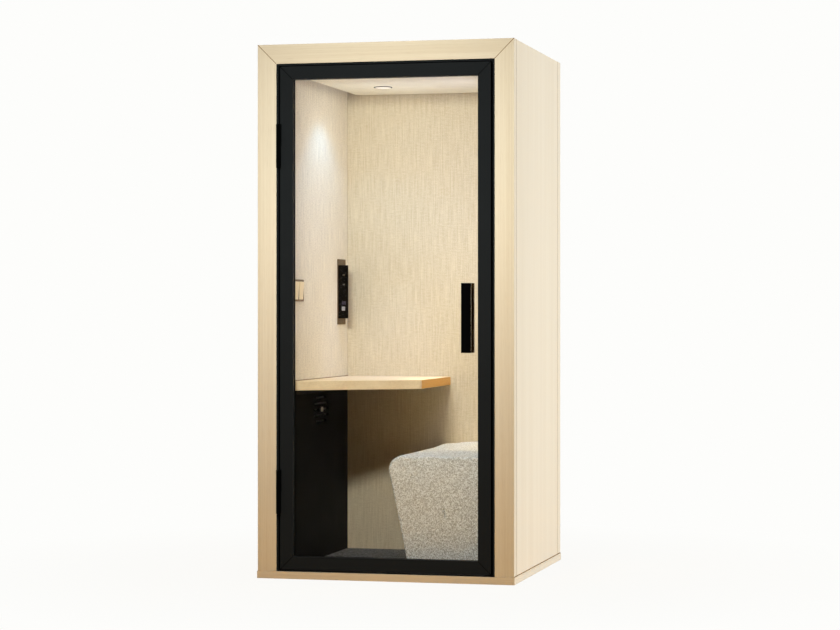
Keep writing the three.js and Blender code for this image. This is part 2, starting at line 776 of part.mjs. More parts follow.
function buildDesk() {
  const group = assembly("desk");
  const left = -cabinX + GAP;
  const back = cabinBack - GAP;
  const front = new THREE.Vector2(DESK.right - left, DESK.frontRight - DESK.frontLeft).normalize();
  // The corner is rounded between the slanting front edge and the straight right edge.
  const turn = Math.PI / 2 - front.angle();
  const setBack = DESK.corner * Math.tan(turn / 2);
  const centre = [DESK.right - DESK.corner, DESK.frontRight + setBack];
  const shape = new THREE.Shape();
  shape.moveTo(left, back);
  shape.lineTo(left, DESK.frontLeft);
  shape.lineTo(DESK.right - front.x * setBack, DESK.frontRight - front.y * setBack);
  shape.absarc(...centre, DESK.corner, front.angle() - Math.PI / 2, 0);
  shape.lineTo(DESK.right, back);
  const deskZ = [DESK.top - DESK.thickness, DESK.top];
  piece(group, "desk_top", prism(shape, "z", deskZ, { bevel: DESK.edge, arcSteps: 6 }), "wood");

  const high = DESK.top - DESK.thickness - GAP;
  const angle = outline([
    [left, high],
    [left, high - RAIL.height],
    [left + RAIL.plate, high - RAIL.height],
    [left + RAIL.plate, high - RAIL.plate],
    [left + RAIL.reach, high - RAIL.plate],
    [left + RAIL.reach, high],
  ]);
  piece(group, "desk_wall_rail", prism(angle, "y", [RAIL.front, RAIL.back]), "black");
}

// The outline of the bench across its length: a leaning left side, a round shoulder and a flat top.
function benchOutline() {
  const low = baseTop + CARPET + GAP;
  const right = cabinX - GAP * 2;
  const slope = Math.hypot(1, BENCH.lean);
  const centreZ = BENCH.top - BENCH.shoulder;
  const centreX = BENCH.foot - BENCH.lean * (centreZ - low) + BENCH.shoulder * slope;
  const lean = Math.atan(BENCH.lean);
  const path = new THREE.Path();
  path.moveTo(right, low);
  path.lineTo(BENCH.foot, low);
  path.absarc(centreX, centreZ, BENCH.shoulder, Math.PI + lean, Math.PI / 2, true);
  path.lineTo(right, BENCH.top);
  path.closePath();
  const points = path.getSpacedPoints(BENCH.outlinePoints).slice(0, -1);
  return { points, left: centreX, right, low };
}

// An upholstered block: the outline runs from front to back, the top is crowned, the long side and the
// front swell a little, and the edges round the front are drawn in.
function buildBench() {
  const group = assembly("bench");
  const { points, left, right, low } = benchOutline();
  const back = cabinBack - GAP * 2;
  const middle = new THREE.Vector2((BENCH.foot + right) / 2, (low + BENCH.top) / 2);
  const share = (value) => THREE.MathUtils.clamp(value, 0, 1);
  // The section at a place along the bench, drawn in towards its middle to a share of its size.
  const ring = (y, size) => {
    const swell = Math.sin(Math.PI * share((y - BENCH.front) / (back - BENCH.front)));
    const lift = Math.sin((Math.PI / 2) * share((y - BENCH.front) / BENCH.rise));
    return points.map((point) => {
      const across = share((point.x - left) / (right - left));
      const height = share((point.y - low) / (BENCH.top - low));
      const crown = BENCH.crown * Math.sin(Math.PI * across) * lift;
      const bulge = point.x < left ? BENCH.swell * Math.sin(Math.PI * height) * swell : 0;
      const x = middle.x + (point.x - bulge - middle.x) * size;
      const z = middle.y + (point.y + crown * height - middle.y) * size;
      return new THREE.Vector3(x, y, height > 0 ? Math.max(z, low) : low);
    });
  };
  const { front, edge, drawIn, edgeRings, lengthRings } = BENCH;
  const rings = BENCH.puffRings.map((size) =>
    ring(front - BENCH.swell * (1 - size * size), size * (1 - drawIn)),
  );
  for (let step = 0; step <= edgeRings; step++) {
    const angle = (step / edgeRings) * (Math.PI / 2);
    rings.push(ring(front + edge * (1 - Math.cos(angle)), 1 - drawIn * (1 - Math.sin(angle))));
  }
  for (let step = 1; step <= lengthRings; step++) {
    rings.push(ring(THREE.MathUtils.lerp(front + edge, back, step / lengthRings), 1));
  }
  const carcassX = [CARCASS.left, right - GAP];
  const carcassY = [CARCASS.front, CARCASS.back];
  const pocket = block(
    [carcassX[0] - GAP, right + OVERRUN],
    [carcassY[0] - GAP, carcassY[1] + GAP],
    [0, CARCASS.top + GAP],
  );
  piece(group, "seat_cushion", cut(loft(rings), pocket), "upholstery");
  const board = CARCASS.board;
  const shell = block(carcassX, carcassY, [low, CARCASS.top]);
  const inside = block(
    [carcassX[0] + board, carcassX[1] - board],
    [carcassY[0] + board, carcassY[1] - board],
    [0, CARCASS.top - board],
  );
  piece(group, "seat_carcass", cut(shell, inside), "board");
}

// The power unit on the left wall: a back plate, a wedge whose slanting face looks towards the door,
// and an insert in each recess of that face.
function buildPower() {
  const group = assembly("power_unit");
  const wall = -cabinX + GAP;
  const { plate } = POWER;
  const plateX = [wall, wall + plate.thickness];
  const plateFace = roundedRect(plate.y, POWER.z, plate.width, plate.height, PLATE_CORNER);
  piece(group, "power_back_plate", prism(plateFace, "x", plateX), "bronze");

  const slant = THREE.MathUtils.degToRad(POWER.slant);
  const foot = plateX[1] + GAP;
  const run = POWER.reach / Math.tan(slant);
  // What is drawn about x = 0, y = 0 and facing +X moves to the middle of the slanting face.
  const onFace = (geometry) =>
    geometry.rotateZ(slant - Math.PI / 2).translate(foot + POWER.reach / 2, POWER.near + run / 2, 0);
  const section = outline([
    [foot, POWER.near],
    [foot + POWER.reach, POWER.near + run],
    [foot, POWER.far],
  ]);
  const body = prism(section, "z", around(POWER.z, POWER.height));
  const wells = Object.values(SOCKET.heights).map((z) =>
    onFace(rod("x", [-SOCKET.depth, OVERRUN], SOCKET.radius, [0, z], 32)),
  );
  const recess = ({ z, shift, width, height, depth }) =>
    onFace(block([-depth, OVERRUN], around(shift, width), around(z, height)));
  piece(group, "power_module", cut(body, ...wells, recess(USB), recess(DATA)), "blackPlastic");

  const { earth } = SOCKET;
  for (const [name, z] of Object.entries(SOCKET.heights)) {
    const floor = GAP - SOCKET.depth;
    const disc = rod("x", [floor, floor + SOCKET.face], SOCKET.radius - GAP * 2, [0, z], 32);
    const holes = around(0, SOCKET.pitch).map((y) =>
      rod("x", [floor + SOCKET.floor, 0], SOCKET.hole, [y, z], 12),
    );
    const pinRange = [floor + SOCKET.floor, floor + SOCKET.face + earth.length];
    const pin = rod("x", pinRange, earth.radius, [0, z + earth.rise], 12);
    piece(group, `socket_${name}`, onFace(join(cut(disc, ...holes), pin)), "blackPlastic");
  }

  const insert = ({ z, shift, width, height, depth }) =>
    block([GAP - depth, 0], around(shift, width - 2 * GAP), around(z, height - 2 * GAP));
  const mouth = ({ z, shift, depth, base }, [width, height]) =>
    block([GAP - depth + base, OVERRUN], around(shift, width), around(z, height));
  const slots = around(USB.z, USB.spacing).map((z) => mouth({ ...USB, z }, USB.slot));
  piece(group, "usb_port", onFace(cut(insert(USB), ...slots)), "violet");
  piece(group, "data_port", onFace(cut(insert(DATA), mouth(DATA, DATA.mouth))), "white");
}

// A two-gang switch: a tray with a rib under each rocker, and two rockers that lie tilted on them.
function buildSwitch() {
  const group = assembly("wall_switch");
  const wall = -cabinX + GAP;
  const face = wall + SWITCH.proud;
  const floor = wall + SWITCH.back;
  const windowWidth = (SWITCH.width - 3 * SWITCH.rim) / 2;
  const windowHeight = SWITCH.height - 2 * SWITCH.rim;
  const tilt = THREE.MathUtils.degToRad(ROCKER.tilt);
  const pivotX = floor + (windowHeight / 2) * Math.sin(tilt) + GAP;
  const frame = roundedRect(SWITCH.y, SWITCH.z, SWITCH.width, SWITCH.height, PLATE_CORNER);
  const plate = prism(frame, "x", [wall, face], { bevel: SWITCH.edge });
  const [ribLength, ribWidth] = SWITCH.rib;
  const windows = [];
  const ribs = [];
  const places = around(SWITCH.y, windowWidth + SWITCH.rim);
  ["light", "fan"].forEach((name, number) => {
    const y = places[number];
    windows.push(block([floor, face + OVERRUN], around(y, windowWidth), around(SWITCH.z, windowHeight)));
    ribs.push(block([wall, pivotX - GAP], around(y, ribLength), around(SWITCH.z, ribWidth)));
    const { play, corner, thickness } = ROCKER;
    const key = roundedRect(0, 0, windowWidth - 2 * play, windowHeight - 2 * play, corner);
    const form = prism(key, "x", [0, thickness], { bevel: SWITCH.edge });
    const rocker = piece(group, `${name}_rocker`, form, "tan");
    rocker.position.set(pivotX, y, SWITCH.z);
    rocker.rotation.y = tilt;
  });
  piece(group, "switch_plate", join(cut(plate, ...windows), ...ribs), "bronze");
}

// A box fan round the Z axis, with its air path from z = 0 to z = FAN.depth.
function fanHousing() {
  const frame = roundedRect(0, 0, FAN.size, FAN.size, FAN.corner);
  frame.holes.push(roundHole(0, 0, FAN.bore));
  const ring = prism(frame, "z", [0, FAN.depth]);
  const motor = rod("z", [0, FAN.motor], ROTOR.hub, [0, 0]);
  const struts = [0, 1, 2].map((number) => {
    const arm = block([0, FAN.bore + OVERRUN], around(0, FAN.strut), [0, FAN.strutDepth]);
    return arm.rotateZ((number * 2 * Math.PI) / 3);
  });
  return join(ring, motor, ...struts);
}

// The fan's rotor: a hub with blades that grow wider and flatter towards the tip.
function fanRotor() {
  const { low, high, hub, tip, blades, thickness, stations } = ROTOR;
  const corners = [[-0.5, -0.5], [0.5, -0.5], [0.5, 0.5], [-0.5, 0.5]];
  const section = (_, station) => {
    const out = station / (stations - 1);
    const radius = THREE.MathUtils.lerp(hub - OVERRUN * 3, tip, out);
    const pitch = THREE.MathUtils.degToRad(THREE.MathUtils.lerp(ROTOR.rootPitch, ROTOR.tipPitch, out));
    const chord = THREE.MathUtils.lerp(ROTOR.rootChord, ROTOR.tipChord, out);
    return corners.map(([u, v]) => {
      const y = u * chord * Math.cos(pitch) - v * thickness * Math.sin(pitch);
      const z = u * chord * Math.sin(pitch) + v * thickness * Math.cos(pitch);
      return new THREE.Vector3(radius, y, (low + high) / 2 + z * ROTOR.flat);
    });
  };
  const turns = Array.from({ length: blades }, (_, number) => (number * 2 * Math.PI) / blades);
  const forms = turns.map((turn) => loft(Array.from({ length: stations }, section)).rotateZ(turn));
  return join(rod("z", [low, high], hub, [0, 0]), ...forms);
}

function buildFans() {
  const group = assembly("ventilation");
  const exhaustTop = HEIGHT - PANEL - GAP * 2;
  const exhaustPlace = [EXHAUST.x, EXHAUST.y, exhaustTop - FAN.depth];
  const intakePlace = [INTAKE.x - FAN.depth / 2, INTAKE.y, INTAKE.z];
  for (const [name, form] of Object.entries({ housing: fanHousing, rotor: fanRotor })) {
    piece(group, `exhaust_fan_${name}`, form(), "blackPlastic").position.set(...exhaustPlace);
    const intake = piece(group, `intake_fan_${name}`, form(), "blackPlastic");
    intake.rotation.y = Math.PI / 2;
    intake.position.set(...intakePlace);
  }
}

buildBase();
buildPortal();
buildWalls();
buildLatch();
buildRoof();
buildCeiling();
buildDoorway();
buildDoor();
buildHandle();
buildHinges();
buildDesk();
buildBench();
buildPower();
buildSwitch();
buildFans();

export default pod;
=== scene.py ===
import math

import bmesh
import bpy
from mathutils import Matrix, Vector, noise


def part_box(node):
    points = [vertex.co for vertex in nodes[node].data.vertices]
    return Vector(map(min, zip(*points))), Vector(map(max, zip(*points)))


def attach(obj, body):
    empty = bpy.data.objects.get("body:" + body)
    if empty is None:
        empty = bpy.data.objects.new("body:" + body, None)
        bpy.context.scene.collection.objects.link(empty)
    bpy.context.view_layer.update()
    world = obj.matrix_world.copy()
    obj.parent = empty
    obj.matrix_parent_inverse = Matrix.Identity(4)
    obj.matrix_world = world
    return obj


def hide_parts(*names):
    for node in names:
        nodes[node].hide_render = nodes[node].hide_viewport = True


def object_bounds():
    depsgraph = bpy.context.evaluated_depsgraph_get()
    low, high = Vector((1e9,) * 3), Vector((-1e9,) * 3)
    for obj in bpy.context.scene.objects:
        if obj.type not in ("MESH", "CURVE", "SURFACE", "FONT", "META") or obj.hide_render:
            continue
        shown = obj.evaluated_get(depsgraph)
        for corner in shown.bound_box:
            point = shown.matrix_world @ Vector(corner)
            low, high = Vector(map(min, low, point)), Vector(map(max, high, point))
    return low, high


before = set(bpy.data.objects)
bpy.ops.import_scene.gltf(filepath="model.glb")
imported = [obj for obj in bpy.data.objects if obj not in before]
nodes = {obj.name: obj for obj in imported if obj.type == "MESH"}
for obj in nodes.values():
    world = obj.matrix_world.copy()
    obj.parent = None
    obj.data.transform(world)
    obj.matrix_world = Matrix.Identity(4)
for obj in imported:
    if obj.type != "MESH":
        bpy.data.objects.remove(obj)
cad_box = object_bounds()
scene = bpy.context.scene

# The photograph's frame and camera
PHOTO_WIDTH = 840
PHOTO_HEIGHT = 630
FOCAL_PIXELS = 2380.4
HORIZON_ROW = 310.04
SENSOR = 36.0
CAMERA_PLACE = (2.4775, -9.8806, 1.1061)
CAMERA_TURN = math.radians(13.941)

# Places in the cabin, read from the frame
cabin_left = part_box("left_felt_panel")[1].x
cabin_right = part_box("right_felt_panel")[0].x
cabin_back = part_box("back_felt_panel")[0].y
cabin_middle = (cabin_left + cabin_right) / 2
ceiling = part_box("ceiling_panel")[0].z
desk_low, desk_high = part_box("desk_top")
bench_low, bench_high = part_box("seat_cushion")
carpet_low, carpet_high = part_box("floor_carpet")
lens_low, lens_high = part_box("downlight_lens")

# Sizes of what is modelled here, in metres
BENCH_FOOT = 0.064  # where the leaning side meets the floor
BENCH_LEAN = 0.2044
BENCH_SHOULDER = 0.057
BENCH_CROWN = 0.0125
BENCH_RISE = 0.42  # length behind the front edge over which the crown grows
BENCH_EDGE = 0.014  # rounding of the front edge
BENCH_SWELL = 0.005
BENCH_STEP = 0.012  # spacing of the cover's points
STUFFING_PRESSURE = 3.0
STUFFING_REACH = 0.005  # most that the stuffing moves a point
STUFFING_FRAMES = 20
SEAM_DEPTH = 0.0016
SEAM_WIDTH = 0.006
GAP_SHADE_SIZE = 0.003
DESK_CORNER_Y = -0.0914  # where the rounded corner ends and the desk's right end begins
DESK_EDGE = 0.0015
DESK_END_SHEET = 0.0004  # how far the painted-shade sheet on the desk's right end stands out
MITRE_LINE = 0.0024
PANEL_JOINT = 0.0035
BASE_JOINT = 0.0035
JOINT_SUNK = 0.0004  # how far a joint line lies in the face
JOINT_PROUD = 0.0002
POWER_FACE = (-0.3989, 0.294)  # middle of the power unit's sloping face, in x and y
EARTH_PIN_RADIUS = 0.0026
EARTH_PIN_ENDS = (-0.0045, 0.0086)  # from below the face to in front of it
EARTH_PIN_HEIGHTS = (1.262, 1.2195)
SCREW_RADIUS = 0.004
SCREW_INSET = 0.009
PILE_STEP = 0.008
PILE_UNEVEN = 0.0009
EDGE_WOOD = 0.0009
EDGE_METAL = 0.001
EDGE_FELT = 0.004
EDGE_SMALL = 0.0003
SHARP_ANGLE = math.radians(40)

# Colours, as linear red, green and blue
ASH_LIGHT = (0.84, 0.737, 0.562)
ASH_DEEP = (0.745, 0.63, 0.452)
# A lighter copy of the ash for the side and back panels: painted light, as the side face is lit more brightly than
# the front
ASH_PAINTED_LIT_DEEP = (0.80, 0.69, 0.515)
ASH_PORE = (0.60, 0.47, 0.31)
DESK_ASH_LIGHT = (0.86, 0.70, 0.455)
DESK_ASH_DEEP = (0.76, 0.592, 0.36)
# Painted warm shade: the colours of the desk's right end, which looks darker and more orange because of how the
# light falls there
DESK_END_SHADE_PALE = (0.75, 0.42, 0.12)
DESK_END_SHADE_DEEP = (0.66, 0.35, 0.09)
BOARD_LIGHT = (0.60, 0.47, 0.30)
BOARD_DEEP = (0.50, 0.37, 0.22)
# The same wall felt in two copies: lighter on the side walls as painted light, darker on the back wall as painted
# shade
FELT_LIT_PALE = (0.86, 0.77, 0.57)
FELT_LIT_DEEP = (0.64, 0.56, 0.40)
FELT_SHADED_PALE = (0.66, 0.57, 0.41)
FELT_SHADED_DEEP = (0.525, 0.436, 0.294)
MELANGE_LIGHT = (0.94, 0.965, 0.955)
MELANGE_DARK = (0.42, 0.413, 0.375)
CARPET_LIGHT = (0.215, 0.21, 0.21)
CARPET_DARK = (0.04, 0.039, 0.039)
WOOL_LIGHT = (0.34, 0.33, 0.31)
WOOL_DARK = (0.22, 0.21, 0.20)
CEILING_WHITE = (0.82, 0.77, 0.61)
DOOR_BLACK = (0.0128, 0.0145, 0.0155)
PULL_BLACK = (0.0008, 0.0008, 0.0008)
# Painted reflection: the inner handle is brown to stand for the wood reflected in the handle's side
HANDLE_REFLECTION_BROWN = (0.04, 0.022, 0.006)
PANEL_BLACK = (0.0042, 0.0031, 0.0025)
PLASTIC_BLACK = (0.0032, 0.002, 0.001)
RUBBER_BLACK = (0.006, 0.006, 0.006)
BRONZE = (0.13, 0.075, 0.027)
# Painted shade: the brown strip along the desk and the left wall stands for the shadow gap there
GAP_SHADE_BROWN = (0.26, 0.15, 0.06)
# Painted shade: the dark brown of the shell's joint lines stands for the shadow in the gaps
JOINT_SHADE_BROWN = (0.28, 0.16, 0.06)
SWITCH_BRONZE = (0.22, 0.14, 0.065)
SWITCH_TAN = (0.96, 0.76, 0.47)
PORT_WHITE = (0.40, 0.36, 0.34)
PORT_VIOLET = (0.035, 0.027, 0.046)
STEEL = (0.70, 0.70, 0.70)
ZINC = (0.82, 0.81, 0.79)
LENS_WARM = (1.0, 0.93, 0.82)
GLASS_CLEAR = (0.985, 0.992, 0.988)
BACKGROUND = (0.983, 0.983, 0.966)
AMBIENT_TINT = (1.0, 0.45, 0.1)
FLOOR_TINT = (0.75, 0.44, 0.08)


# Shader nodes

def feed(tree, socket, value):
    """Links a socket to another one, or sets its plain value."""
    if isinstance(value, bpy.types.NodeSocket):
        tree.links.new(value, socket)
    elif socket.type == "RGBA" and len(value) == 3:
        socket.default_value = (*value, 1.0)
    else:
        socket.default_value = value


def add_node(tree, kind, inputs=None, **settings):
    node = tree.nodes.new("ShaderNode" + kind)
    for name, value in settings.items():
        setattr(node, name, value)
    for name, value in (inputs or {}).items():
        feed(tree, node.inputs[name], value)
    return node


def calc(tree, operation, *values, clamp=False):
    node = add_node(tree, "Math", dict(enumerate(values)), operation=operation, use_clamp=clamp)
    return node.outputs[0]


def scaled(tree, vector, factors):
    node = add_node(tree, "VectorMath", {0: vector, 1: factors}, operation="MULTIPLY")
    return node.outputs[0]


def cloud(tree, vector, scale=1.0, detail=2.0, roughness=0.5):
    """Soft noise from 0 to 1 at a vector."""
    values = {"Vector": vector, "Scale": scale, "Detail": detail, "Roughness": roughness}
    return add_node(tree, "TexNoise", values).outputs["Fac"]


def spread(tree, value, low, high, to_low=0.0, to_high=1.0):
    """Stretches a value's range, and clamps it."""
    values = {"Value": value, "From Min": low, "From Max": high, "To Min": to_low, "To Max": to_high}
    return add_node(tree, "MapRange", values).outputs["Result"]


def mixed(tree, share, first, second):
    node = tree.nodes.new("ShaderNodeMix")
    node.data_type = "RGBA"
    feed(tree, node.inputs[0], share)
    feed(tree, node.inputs[6], first)
    feed(tree, node.inputs[7], second)
    return node.outputs[2]


def raised(tree, height, distance, strength=1.0):
    values = {"Height": height, "Distance": distance, "Strength": strength}
    return add_node(tree, "Bump", values).outputs["Normal"]


def place(tree):
    """The point on the piece, in metres in the pod's own frame."""
    return add_node(tree, "TexCoord").outputs["Object"]


def parts_of(tree, vector):
    return add_node(tree, "SeparateXYZ", {"Vector": vector}).outputs


def vector_of(tree, x, y, z):
    return add_node(tree, "CombineXYZ", {"X": x, "Y": y, "Z": z}).outputs["Vector"]


# Effects that several finishes share, as node groups

def new_effect(name, inputs, outputs):
    """An empty node group with named sockets, with its input and output sockets."""
    group = bpy.data.node_groups.new(name, "ShaderNodeTree")
    for socket, kind in inputs.items():
        group.interface.new_socket(socket, in_out="INPUT", socket_type="NodeSocket" + kind)
    for socket, kind in outputs.items():
        group.interface.new_socket(socket, in_out="OUTPUT", socket_type="NodeSocket" + kind)
    start = group.nodes.new("NodeGroupInput").outputs
    end = group.nodes.new("NodeGroupOutput").inputs
    return group, start, end


def make_grain():
    """Straight grain along Z: broad bands, fine streaks and short pores."""
    group, start, end = new_effect(
        "straight_grain", {"Vector": "Vector"}, {"Tone": "Float", "Pores": "Float", "Height": "Float"}
    )
    vector = start["Vector"]
    bands = cloud(group, scaled(group, vector, (16.0, 16.0, 0.35)), detail=2.0)
    streaks = cloud(group, scaled(group, vector, (150.0, 150.0, 1.3)), detail=4.0, roughness=0.6)
    fleck = cloud(group, scaled(group, vector, (620.0, 620.0, 16.0)), detail=1.0)
    pores = spread(group, fleck, 0.60, 0.74)
    tone = calc(group, "ADD", calc(group, "MULTIPLY", bands, 0.5), calc(group, "MULTIPLY", streaks, 0.5))
    feed(group, end["Tone"], spread(group, tone, 0.36, 0.64))
    feed(group, end["Pores"], pores)
    feed(group, end["Height"], calc(group, "SUBTRACT", streaks, calc(group, "MULTIPLY", pores, 0.5)))
    return group


def make_weave():
    """Linen-like threads on a flat panel: long upright slubs crossed by shorter level ones."""
    group, start, end = new_effect(
        "linen_threads",
        {"Across": "Float", "Up": "Float", "Thread": "Float"},
        {"Tone": "Float", "Height": "Float"},
    )
    across = calc(group, "DIVIDE", start["Across"], start["Thread"])
    up = calc(group, "DIVIDE", start["Up"], start["Thread"])
    plane = vector_of(group, across, up, 0.0)
    warp = cloud(group, scaled(group, plane, (0.7, 0.03, 1.0)), detail=1.0)
    weft = cloud(group, scaled(group, plane, (0.13, 0.8, 1.0)), detail=1.0)
    slub = cloud(group, scaled(group, plane, (0.9, 0.6, 1.0)), detail=1.0)
    threads = calc(group, "ADD", calc(group, "MULTIPLY", warp, 0.45), calc(group, "MULTIPLY", weft, 0.3))
    tone = calc(group, "ADD", threads, calc(group, "MULTIPLY", slub, 0.25))
    over = calc(group, "SINE", calc(group, "MULTIPLY", across, math.pi))
    under = calc(group, "SINE", calc(group, "MULTIPLY", up, math.pi))
    feed(group, end["Tone"], spread(group, tone, 0.36, 0.64))
    knots = calc(group, "MULTIPLY", over, under)
    feed(group, end["Height"], calc(group, "ADD", tone, calc(group, "MULTIPLY", knots, 0.3)))
    return group


def make_flecks():
    """Mixed yarns: each stitch has its own tone. Scatter 0 sets the stitches in rows, 1 anyhow."""
    group, start, end = new_effect(
        "melange_flecks",
        {"Vector": "Vector", "Stitch": "Float", "Scatter": "Float"},
        {"Tone": "Float", "Height": "Float"},
    )
    size = calc(group, "DIVIDE", 1.0, start["Stitch"])
    values = {"Vector": start["Vector"], "Scale": size, "Randomness": start["Scatter"]}
    stitches = add_node(group, "TexVoronoi", values)
    own = parts_of(group, stitches.outputs["Color"])[0]
    yarn = cloud(group, start["Vector"], calc(group, "MULTIPLY", size, 0.55), detail=2.0)
    tone = calc(group, "ADD", calc(group, "MULTIPLY", own, 0.7), calc(group, "MULTIPLY", yarn, 0.3))
    feed(group, end["Tone"], spread(group, tone, 0.15, 0.85))
    feed(group, end["Height"], calc(group, "SUBTRACT", 1.0, stitches.outputs["Distance"]))
    return group


def make_peel():
    """The fine uneven skin of powder coat and moulded plastic, and faint marks of handling."""
    group, start, end = new_effect(
        "fine_peel", {"Vector": "Vector", "Grain": "Float"}, {"Height": "Float", "Marks": "Float"}
    )
    size = calc(group, "DIVIDE", 1.0, start["Grain"])
    feed(group, end["Height"], cloud(group, start["Vector"], size, detail=2.0))
    feed(group, end["Marks"], cloud(group, start["Vector"], 9.0, detail=4.0, roughness=0.6))
    return group


grain_effect = make_grain()
weave_effect = make_weave()
fleck_effect = make_flecks()
peel_effect = make_peel()


# Finishes

def new_finish(name, **constants):
    """A material with one Principled shader, with its constant sockets set by plain names."""
    material = bpy.data.materials.new(name)
    material.use_nodes = True
    tree = material.node_tree
    shader = tree.nodes["Principled BSDF"]
    for key, value in constants.items():
        feed(tree, shader.inputs[key.replace("_", " ").title().replace("Ior", "IOR")], value)
    return material, tree, shader


def grain_vector(tree, along):
    """The point with the grain's direction turned to Z. An edge that faces X has its grain along Y."""
    point = place(tree)
    if along == "z":
        return point
    x, y, z = parts_of(tree, point)
    facing = parts_of(tree, add_node(tree, "NewGeometry").outputs["Normal"])[0]
    on_side = calc(tree, "GREATER_THAN", calc(tree, "ABSOLUTE", facing), 0.6)
    level = add_node(tree, "Mix", {0: on_side, 2: x, 3: y}).outputs[0]
    other = add_node(tree, "Mix", {0: on_side, 2: y, 3: x}).outputs[0]
    return vector_of(tree, other, z, level)


def wood_finish(name, along, light, deep, pore, roughness):
    material, tree, shader = new_finish(name, specular_ior_level=0.15)
    grain = add_node(tree, "Group", {"Vector": grain_vector(tree, along)}, node_tree=grain_effect).outputs
    streaked = mixed(tree, grain["Tone"], deep, light)
    pored = mixed(tree, calc(tree, "MULTIPLY", grain["Pores"], 0.35), streaked, pore)
    feed(tree, shader.inputs["Base Color"], pored)
    feed(tree, shader.inputs["Roughness"], spread(tree, grain["Tone"], 0, 1, roughness + 0.08, roughness))
    feed(tree, shader.inputs["Normal"], raised(tree, grain["Height"], 0.0002, 0.35))
    return material


def felt_finish(name, across_axis, light, deep):
    material, tree, shader = new_finish(
        name, specular_ior_level=0.1, sheen_weight=0.15, sheen_roughness=0.6
    )
    point = parts_of(tree, place(tree))
    values = {"Across": point[across_axis], "Up": point[2], "Thread": 0.0037}
    weave = add_node(tree, "Group", values, node_tree=weave_effect).outputs
    feed(tree, shader.inputs["Base Color"], mixed(tree, weave["Tone"], deep, light))
    feed(tree, shader.inputs["Roughness"], spread(tree, weave["Tone"], 0, 1, 0.95, 0.85))
    feed(tree, shader.inputs["Normal"], raised(tree, weave["Height"], 0.0011, 0.6))
    return material


def fleck_finish(name, stitch, light, dark, height, sheen, scatter=1.0):
    material, tree, shader = new_finish(
        name, specular_ior_level=0.08, sheen_weight=sheen, sheen_roughness=0.5
    )
    values = {"Vector": place(tree), "Stitch": stitch, "Scatter": scatter}
    flecks = add_node(tree, "Group", values, node_tree=fleck_effect).outputs
    feed(tree, shader.inputs["Base Color"], mixed(tree, flecks["Tone"], dark, light))
    feed(tree, shader.inputs["Roughness"], spread(tree, flecks["Tone"], 0, 1, 0.97, 0.85))
    feed(tree, shader.inputs["Normal"], raised(tree, flecks["Height"], height, 0.7))
    return material


def coated_finish(name, colour, roughness, grain=0.0011, bump=0.00006, **constants):
    """Powder coat, moulded plastic, rubber or brushed metal: one colour with a fine skin and faint marks."""
    material, tree, shader = new_finish(name, **constants)
    values = {"Vector": place(tree), "Grain": grain}
    peel = add_node(tree, "Group", values, node_tree=peel_effect).outputs
    tinted = mixed(tree, peel["Marks"], [0.85 * c for c in colour], [min(1.15 * c, 1.0) for c in colour])
    feed(tree, shader.inputs["Base Color"], tinted)
    feed(tree, shader.inputs["Roughness"], spread(tree, peel["Marks"], 0.3, 0.7, roughness - 0.06, roughness + 0.06))
    feed(tree, shader.inputs["Normal"], raised(tree, peel["Height"], bump, 0.6))
    return material


def lacquer_finish(name, colour):
    """Deep black lacquer: black face on, and shiny only where it is seen at a slant."""
    material, tree, shader = new_finish(name, specular_ior_level=0.015, coat_roughness=0.2)
    peel = add_node(tree, "Group", {"Vector": place(tree), "Grain": 0.0011}, node_tree=peel_effect).outputs
    feed(tree, shader.inputs["Base Color"], mixed(tree, peel["Marks"], [0.8 * c for c in colour], colour))
    feed(tree, shader.inputs["Roughness"], spread(tree, peel["Marks"], 0.3, 0.7, 0.3, 0.4))
    slant = add_node(tree, "LayerWeight", {"Blend": 0.5}).outputs["Facing"]
    feed(tree, shader.inputs["Coat Weight"], spread(tree, slant, 0.4, 0.7))
    feed(tree, shader.inputs["Normal"], raised(tree, peel["Height"], 0.00005, 0.5))
    return material


def glass_finish():
    """Clear glass that lets the lamps' light through."""
    material, tree, shader = new_finish(
        "door_glass_clear", base_color=GLASS_CLEAR, roughness=0.0, transmission_weight=1.0, ior=1.08,
    )
    path = add_node(tree, "LightPath").outputs
    clear = add_node(tree, "BsdfTransparent", {"Color": GLASS_CLEAR}).outputs[0]
    lamp_ray = calc(tree, "MAXIMUM", path["Is Shadow Ray"], path["Is Diffuse Ray"])
    either = add_node(tree, "MixShader", {0: lamp_ray, 1: shader.outputs[0], 2: clear})
    tree.links.new(either.outputs[0], tree.nodes["Material Output"].inputs["Surface"])
    return material


def lens_finish():
    material, tree, shader = new_finish(
        "opal_lens_lit", base_color=LENS_WARM, roughness=0.35, emission_strength=0.3
    )
    glow = cloud(tree, place(tree), 40.0)
    feed(tree, shader.inputs["Emission Color"], mixed(tree, glow, LENS_WARM, (1.0, 0.96, 0.88)))
    return material


ash_upright = wood_finish("ash_laminate_upright", "z", ASH_LIGHT, ASH_DEEP, ASH_PORE, 0.45)
# lighter copy of the ash with lighter pores for the side and back panels: painted light
ash_painted_lit = wood_finish("ash_laminate_painted_lit", "z", ASH_LIGHT, ASH_PAINTED_LIT_DEEP, ASH_DEEP, 0.45)
ash_level = wood_finish("ash_laminate_level", "x", ASH_LIGHT, ASH_DEEP, ASH_PORE, 0.45)
ash_desk = wood_finish("ash_laminate_desk", "x", DESK_ASH_LIGHT, DESK_ASH_DEEP, ASH_PORE, 0.45)
# painted warm shade on the desk's right end
desk_end_shade_finish = wood_finish("desk_end_painted_shade", "x", DESK_END_SHADE_PALE, DESK_END_SHADE_DEEP, DESK_END_SHADE_DEEP, 0.5)
plain_board = wood_finish("plain_board", "x", BOARD_LIGHT, BOARD_DEEP, BOARD_DEEP, 0.65)
